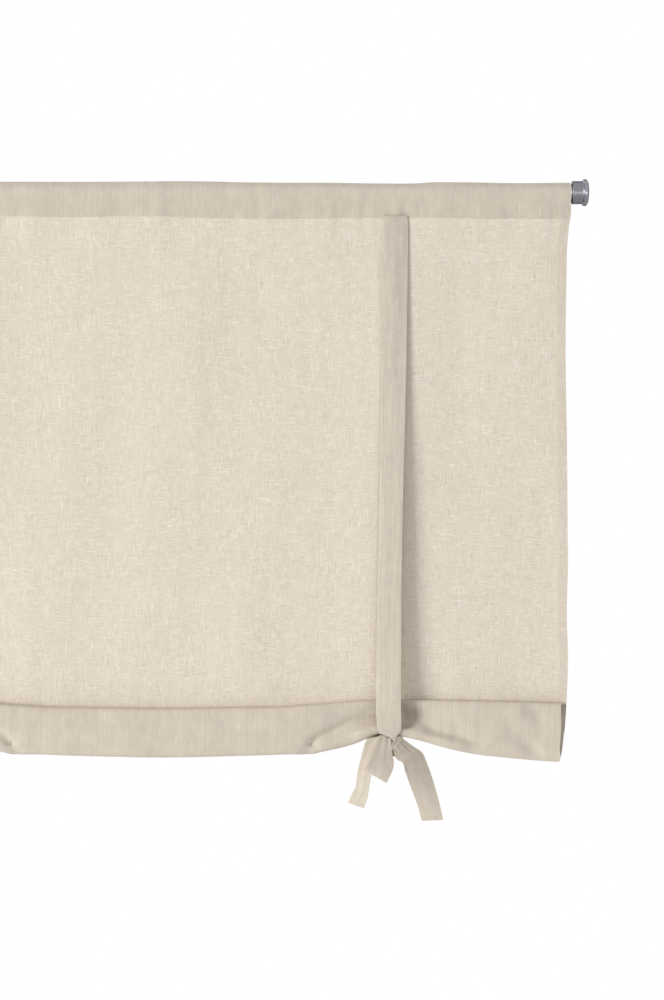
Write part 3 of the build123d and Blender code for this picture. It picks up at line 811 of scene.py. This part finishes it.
RIGHT_TAIL = [
    ((392.4, 746.6, -7.0), (397.0, 737.4, -3.0)),
    ((393.5, 747.2, -10.4), (399.4, 736.6, -7.4)),
    ((394.4, 752.8, -12.2), (405.0, 740.2, -4.4)),
    ((396.6, 759.2, -14.2), (412.6, 745.9, -2.4)),
    ((402.4, 762.4, -14.8), (421.4, 752.0, -2.8)),
    ((405.2, 771.4, -14.0), (427.4, 764.4, -4.2)),
    ((409.0, 782.5, -12.5), (432.4, 778.4, -6.0)),
    ((413.6, 794.5, -10.4), (436.9, 793.6, -8.0)),
    ((418.2, 807.4, -9.2), (440.4, 807.0, -9.0)),
    ((421.9, 820.8, -8.6), (443.1, 819.9, -9.6)),
]
KNOT_BAND = [
    ((394.8, 736.6, -4.0), (401.2, 736.4, -3.0)),
    ((394.4, 737.6, -10.0), (400.6, 736.6, -6.0)),
    ((393.4, 740.6, -11.4), (398.8, 739.4, -7.2)),
    ((392.2, 744.6, -11.6), (396.2, 744.2, -8.2)),
    ((391.6, 748.2, -10.4), (394.2, 748.4, -8.4)),
    ((391.6, 750.2, -6.0), (393.8, 751.0, -6.0)),
]
KNOT_CORE = [
    ((385.0, 736.8, -3.0), (402.5, 736.8, -2.5)),
    ((384.5, 740.0, -6.0), (403.5, 739.6, -4.5)),
    ((386.0, 745.5, -6.8), (402.5, 744.5, -6.0)),
    ((388.6, 751.0, -6.4), (399.5, 752.0, -6.4)),
    ((391.4, 755.0, -5.0), (396.5, 757.6, -5.6)),
]
BACK_STRIP = [  # its lower end is the left tail
    ((376.6, 214.6, 2.6), (402.0, 214.6, 2.6)),
    ((376.4, 219, 2.7), (402.0, 219, 2.7)),
    ((377.0, 300, 4.2), (402.4, 300, 4.2)),
    ((377.6, 400, 5.8), (402.4, 400, 5.8)),
    ((378.2, 520, 7.6), (401.6, 520, 7.6)),
    ((376.6, 640, 9.4), (400.4, 640, 9.4)),
    ((375.8, 700, 10.4), (400.6, 700, 10.4)),
    ((375.6, 724, 10.6), (400.6, 724, 10.6)),
    ((375.4, 732.6, 9.6), (400.4, 733.6, 9.6)),
    ((369.8, 736.8, 7.0), (399.6, 736.2, 7.0)),
    ((368.2, 737.8, 1.0), (397.6, 735.0, 0.5)),
    ((367.4, 738.0, -2.6), (392.5, 734.2, -4.2)),
    ((366.6, 739.4, -5.0), (388.4, 735.2, -6.6)),
    ((365.4, 742.2, -5.2), (384.6, 739.8, -7.6)),
    ((363.8, 746.4, -4.2), (381.0, 747.0, -7.8)),
    ((361.9, 754.7, -2.0), (377.2, 757.0, -7.0)),
    ((359.5, 764.0, 1.0), (374.0, 766.5, -6.5)),
    ((357.2, 775.0, 1.5), (371.0, 776.5, -6.0)),
    ((355.5, 787.6, 1.5), (368.8, 787.5, -6.0)),
    ((351.4, 795.2, 1.0), (367.2, 798.0, -6.5)),
    ((348.4, 802.8, 0.5), (363.6, 808.2, -7.0)),
]
LOOP = [
    ((379.8, 734.8, -8.8), (391.0, 738.8, -7.2)),
    ((378.2, 742.5, -11.4), (391.4, 744.6, -8.8)),
    ((374.4, 751.0, -13.8), (391.8, 753.4, -9.4)),
    ((370.2, 759.6, -15.2), (393.7, 761.0, -9.6)),
    ((366.6, 765.2, -15.4), (393.0, 769.0, -10.0)),
    ((364.6, 768.0, -14.4), (389.6, 776.6, -10.0)),
    ((365.0, 770.2, -12.0), (386.2, 782.8, -8.6)),
    ((367.4, 768.6, -10.6), (386.6, 779.8, -6.6)),
    ((371.0, 763.0, -10.2), (388.4, 770.0, -5.6)),
    ((376.0, 754.0, -10.2), (389.4, 757.0, -5.6)),
    ((381.4, 744.0, -9.6), (390.0, 746.0, -5.2)),
    ((384.6, 738.0, -7.5), (390.4, 739.6, -4.0)),
]
TAIL_CREASES = [  # place across, height, width across, place along, reach along
    (0.88, -0.0002, 0.03, 0.12, 0.08), (0.74, -0.0006, 0.035, 0.18, 0.08), (0.64, 0.0003, 0.045, 0.15, 0.09),
    (0.42, -0.0002, 0.04, 0.11, 0.06), (0.33, 0.0002, 0.05, 0.11, 0.06), (0.20, -0.0004, 0.045, 0.12, 0.06),
    (0.16, -0.0006, 0.16, 0.38, 0.05), (0.62, 0.0003, 0.25, 0.75, 0.30),
]


def cupped(across, height):
    return height * 4 * across * (1 - across)


def ribbon(stations, rows, columns, fold=None, cup=0.0, seed=0.0, layers=None):
    """A closed strip of cloth through its stations. fold and layers are read along and across it, from 0 to 1."""
    edges = np.array(stations, float)
    depth = edges[..., 2] / 1000
    ends = np.stack([photo_x(edges[..., 0], depth), depth, photo_z(edges[..., 1], depth)], axis=-1)
    step = np.linalg.norm(np.diff(ends.mean(axis=1), axis=0), axis=1) + 0.0005
    at = np.concatenate([[0], np.cumsum(step)])
    along = np.linspace(0, at[-1], rows)
    left, right = (
        np.stack([curve(np.column_stack([at, ends[:, side, k]]), along) for k in range(3)], axis=-1) for side in (0, 1)
    )
    across = np.linspace(0, 1, columns)
    points = left[:, None] * (1 - across)[None, :, None] + right[:, None] * across[None, :, None]
    normal = unit(np.cross(np.gradient(points, axis=0), np.gradient(points, axis=1)))
    place = along[:, None] / at[-1], across[None, :]
    lift = cupped(across, cup) + np.zeros((rows, 1))
    if fold is not None:
        lift = lift + fold(*place)
    points = points + normal * lift[..., None]
    half = np.full(points.shape[:2], TIE_THICK / 2)
    u, v = np.meshgrid((across - 0.5) * TIE_WIDTH, along)
    doubled = np.ones(points.shape[:2])
    if layers is not None:
        doubled = doubled * layers(*place)
    return shell(points, half, half, np.dstack([u + seed, v + seed]), (doubled, doubled))


def pleats(across, height, count, shift=0.0, phase=0.0):
    """Soft pleats side by side across a strip."""
    return height * np.sin(TURN * (across * count + shift) + phase)


def strip_fold(along, across):
    soft = pleats(across, 0.00009, 1.6, 0.3 * np.sin(along * 7), 0.6)
    fine = pleats(across, 0.00004, 4.3, 0.6 * np.sin(along * 17 + 1))
    return (soft + fine) * ease(along / 0.04)


def selvage_light_and_top_shade(along, across):
    """The strip's under layer peeps out at its left edge, less so lower down, in the lighter single-cloth colour of
    painted light shining through; the strip's upper part gets painted shade, darker towards its top.
    """
    peep = (0.6 - 0.3 * ramp(along, 0.25, 0.4)) * ramp(along, 0.006, 0.01)
    return 1 - peep * (1 - ramp(across, 0.03, 0.04)) + 0.1 * (1 - ease(along / 0.35))


def tail_pleats(along, across):
    return sum(high * bump(across - a, wide) * bump(along - v, reach) for a, high, wide, v, reach in TAIL_CREASES)


def core_folds(along, across):
    return pleats(across, 0.0009, 2.7, along * 0.5)


def back_fold(along, across):
    """Soft pleats, and a rounded left tail."""
    soft = pleats(across, 0.00028, 1.9, 0.3 * np.sin(along * 6), 2.0)
    return soft * ease(along / 0.04) + 0.0004 * np.sin(np.pi * across) * ramp(along, 0.9, 0.05)


def loop_pleats(along, across):
    """Pleats on the loop's front half."""
    return pleats(across, 0.00025, 2.1, 0.2) * (1 - ramp(along, 0.05, 0.38))


tie_front = joined([
    ribbon(FRONT_STRIP, 150, 29, fold=strip_fold, cup=TIE_CUP, layers=selvage_light_and_top_shade),
    ribbon(RIGHT_TAIL, 60, 33, fold=tail_pleats, seed=0.31),
    ribbon(KNOT_BAND, 30, 13, cup=TIE_CUP, seed=0.47),
    ribbon(KNOT_CORE, 24, 17, fold=core_folds, seed=0.55),
])
tie_back = joined([
    ribbon(BACK_STRIP, 190, 25, fold=back_fold, seed=0.73),
    ribbon(LOOP, 64, 27, fold=loop_pleats, seed=0.91),
])
for side, change in (("right", dict), ("left", mirrored)):
    for face, part, flat in (("front", tie_front, (0.03, 0.70)), ("back", tie_back, (0.03, 0.76))):
        tie = piece(f"tie_{face}_{side}_cloth", change(part), tie_cloth)
        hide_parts(f"tie_{face}_{side}")

# Stitching

STITCH_LENGTH = 0.0023
STITCH_ROUND = 0.00028
STITCH_CORNERS = 6
# Rings of a stitch: place along its length, size and lift, both in STITCH_ROUND
STITCH_RINGS = [(-0.5, 0.25, -0.8), (-0.36, 0.85, 0.1), (0.0, 1.0, 0.5), (0.36, 0.85, 0.1), (0.5, 0.25, -0.8)]
TIE_SEAM_PX = (382.5, 407.2, 218.1)  # left and right column, row
TIE_SEAM_Y = -0.0019
TIE_SEAM_THICK = 1.8


def stitches(path, outward, thick=1.0):
    """Short rounded stitches end to end along a path, half sunk in the cloth; outward is one side's normal."""
    reach = lengths(path)
    count = int(reach[-1] / STITCH_PITCH)
    at = (np.arange(count) + 0.5) * reach[-1] / count

    def on_path(place):
        return np.stack([np.interp(place, reach, path[:, k]) for k in range(3)], axis=1)

    centre = on_path(at)
    along = unit(on_path(at + 0.0002) - on_path(at - 0.0002))
    side = unit(np.cross(along, np.array(outward, float)))
    out = np.cross(side, along)
    size = STITCH_ROUND * thick
    verts = []
    for share, wide, lift in STITCH_RINGS:
        for k in range(STITCH_CORNERS):
            angle = TURN * k / STITCH_CORNERS
            verts.append(
                centre + along * share * STITCH_LENGTH
                + side * wide * size * math.cos(angle)
                + out * size * (lift + wide * math.sin(angle))
            )
    verts = np.stack(verts, axis=1)
    index = np.arange(verts.shape[1]).reshape(len(STITCH_RINGS), STITCH_CORNERS)
    turned = np.roll(index, -1, axis=1)
    faces = np.stack([index[:-1], turned[:-1], turned[1:], index[1:]], axis=-1).reshape(-1, 4).tolist()
    for ring in (index[0, ::-1], index[-1]):
        faces += [ring[[0, 1, 2, 3]].tolist(), ring[[0, 3, 4, 5]].tolist()]
    faces = (np.array(faces)[None] + (np.arange(count) * index.size)[:, None, None]).reshape(-1, 4)
    verts = verts.reshape(-1, 3)
    thread = np.column_stack([verts[:, 0], verts[:, 2]])
    return {"verts": verts, "faces": faces, "thread": thread, "layers": np.ones(len(verts))}


surface = np.array([0, CLOTH_THICK / 2, 0])
tie_share = np.linspace(0.02, 0.98, 14)
tie_depth = TIE_SEAM_Y - cupped(tie_share, TIE_CUP)
tie_left, tie_right, tie_row = TIE_SEAM_PX
tie_columns = tie_left + (tie_right - tie_left) * tie_share
tie_path = np.column_stack([photo_x(tie_columns, tie_depth), tie_depth, photo_z(tie_row, tie_depth)])
tie_stitches = stitches(tie_path, (0, -1, 0), TIE_SEAM_THICK)
seam_part = joined([
    stitches(grid[front_seam, 2:-2] - surface, (0, -1, 0)),
    stitches(grid[back_seam, 2:-2] + surface, (0, 1, 0)),
    tie_stitches,
    mirrored(tie_stitches),
])
seam_stitches = piece("seam_stitches", seam_part, stitch_thread)

# The spring: a wire coil inside the rod, which in the real rod shortens as the rod is pressed together

SPRING_FIXED = -0.3164
SPRING_LENGTH = 0.1
SPRING_MEAN = 0.0057
SPRING_WIRE = 0.0007
SPRING_COILS = 10
COIL_STEPS = 28  # in a turn
WIRE_SIDES = 10


def coil():
    """A round wire wound along the rod, closed at its ends."""
    steps = SPRING_COILS * COIL_STEPS
    share = np.linspace(0, 1, steps + 1)
    turn = TURN * SPRING_COILS * share
    x = SPRING_FIXED - SPRING_WIRE - (SPRING_LENGTH - 2 * SPRING_WIRE) * share
    path = np.stack([x, SPRING_MEAN * np.cos(turn), SPRING_MEAN * np.sin(turn)], axis=1)
    along = unit(np.gradient(path, axis=0))
    out = np.stack([0 * turn, np.cos(turn), np.sin(turn)], axis=1)
    side = unit(np.cross(along, out))
    out = np.cross(side, along)
    angle = TURN * np.arange(WIRE_SIDES) / WIRE_SIDES
    ring = path[:, None] + SPRING_WIRE * (
        out[:, None] * np.cos(angle)[None, :, None] + side[:, None] * np.sin(angle)[None, :, None]
    )
    verts = np.concatenate([ring.reshape(-1, 3), path[[0, -1]]])
    index = np.arange((steps + 1) * WIRE_SIDES).reshape(steps + 1, WIRE_SIDES)
    turned = np.roll(index, -1, axis=1)
    faces = np.stack([index[:-1], turned[:-1], turned[1:], index[1:]], axis=-1).reshape(-1, 4).tolist()
    first, last = len(verts) - 2, len(verts) - 1
    for k in range(WIRE_SIDES):
        faces.append((first, int(turned[0, k]), int(index[0, k])))
        faces.append((last, int(index[-1, k]), int(turned[-1, k])))
    return verts, faces


coil_verts, coil_faces = coil()
coil_mesh = bpy.data.meshes.new("spring_coil")
coil_mesh.from_pydata(coil_verts.tolist(), [], coil_faces)
coil_mesh.polygons.foreach_set("use_smooth", [True] * len(coil_mesh.polygons))
coil_mesh.materials.append(spring_steel)
spring = bpy.data.objects.new("spring_coil", coil_mesh)
bpy.context.scene.collection.objects.link(spring)
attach(spring, "lock_turner")
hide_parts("spring")
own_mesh(spring)

# Materials of the solids that stay

NODE_MATERIALS = {
    "outer_tube": tube_steel, "inner_tube": tube_steel, "guide_collar": lock_plastic,
    "right_foot": foot_metal, "left_foot": foot_metal, "right_pad": pad_rubber, "left_pad": pad_rubber,
    "spring_plunger": lock_plastic, "lock_screw": spring_steel, "lock_sleeve": lock_plastic, "lock_cone": lock_plastic,
}
for name, material in NODE_MATERIALS.items():
    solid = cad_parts[name]
    if solid.material_slots:
        for place in solid.material_slots:
            place.material = material
    else:
        solid.data.materials.append(material)

# Stage, light and camera

FLOOR_Z = -1.62
FLOOR_HALF = 2.2
FLOOR_COLOUR = (0.86, 0.86, 0.86, 1.0)
floor_corners = [
    (CLOTH_MIDDLE + FLOOR_HALF * a, FLOOR_HALF * b, FLOOR_Z) for a, b in ((-1, -1), (1, -1), (1, 1), (-1, 1))
]
floor_mesh = bpy.data.meshes.new("floor")
floor_mesh.from_pydata(floor_corners, [], [(0, 1, 2, 3)])
floor = bpy.data.objects.new("floor", floor_mesh)
bpy.context.scene.collection.objects.link(floor)
floor_material, floor_tree, floor_shader = new_material("floor_paint")
floor_grain = noise(floor_tree, node(floor_tree, "TexCoord").outputs["Object"], (3.0, 3.0, 3.0), 2.0)
floor_tone = plus(floor_tree, weighted(floor_tree, (0.03, floor_grain)), 1.0)
floor_tree.links.new(shaded(floor_tree, FLOOR_COLOUR, floor_tone), floor_shader.inputs["Base Color"])
floor_shader.inputs["Roughness"].default_value = 0.8
floor_mesh.materials.append(floor_material)

# The world is white where it is seen, and lights the blind with FILL
FILL = 0.525
world = bpy.data.worlds.new("studio")
bpy.context.scene.world = world
world.use_nodes = True
world_tree = world.node_tree
background = world_tree.nodes["Background"]
light_path = node(world_tree, "LightPath").outputs
seen = larger(world_tree, light_path["Is Camera Ray"], light_path["Is Glossy Ray"])
seen = larger(world_tree, seen, light_path["Is Transmission Ray"])
level = plus(world_tree, times(world_tree, seen, 1 - FILL), FILL)
background.inputs["Color"].default_value = (1, 1, 1, 1)
world_tree.links.new(level, background.inputs["Strength"])

AIM = Vector((-0.40, 0.0, -0.33))
LAMPS = [  # name, direction from the aim, distance, width, height, watts
    ("key", (-0.84, -0.53, 0.10), 9.0, 3.1, 4.2, 620.0),
    ("back", (-0.45, 0.85, 0.25), 9.0, 4.2, 4.2, 460.0),
    ("glint", (0.30, -0.93, -0.06), 3.0, 0.5, 0.5, 4.5),
]
for name, direction, distance, width, height, watts in LAMPS:
    direction = Vector(direction).normalized()
    lamp = bpy.data.lights.new(name, "AREA")
    lamp.shape = "RECTANGLE"
    lamp.size = width
    lamp.size_y = height
    lamp.energy = watts
    holder = bpy.data.objects.new(name, lamp)
    holder.location = AIM + direction * distance
    holder.rotation_euler = (-direction).to_track_quat("-Z", "Y").to_euler()
    bpy.context.scene.collection.objects.link(holder)

lens = bpy.data.cameras.new("camera")
lens.sensor_fit = "VERTICAL"
lens.sensor_height = SENSOR
lens.lens = SENSOR * CAMERA_BACK / (PHOTO_HEIGHT * PIXEL)
camera = bpy.data.objects.new("camera", lens)
camera.location = (float(photo_x(PHOTO_WIDTH / 2)), -CAMERA_BACK, float(photo_z(PHOTO_HEIGHT / 2)))
camera.rotation_euler = (math.pi / 2, 0, 0)
bpy.context.scene.collection.objects.link(camera)
bpy.context.scene.camera = camera
bpy.context.scene.view_settings.view_transform = "Standard"
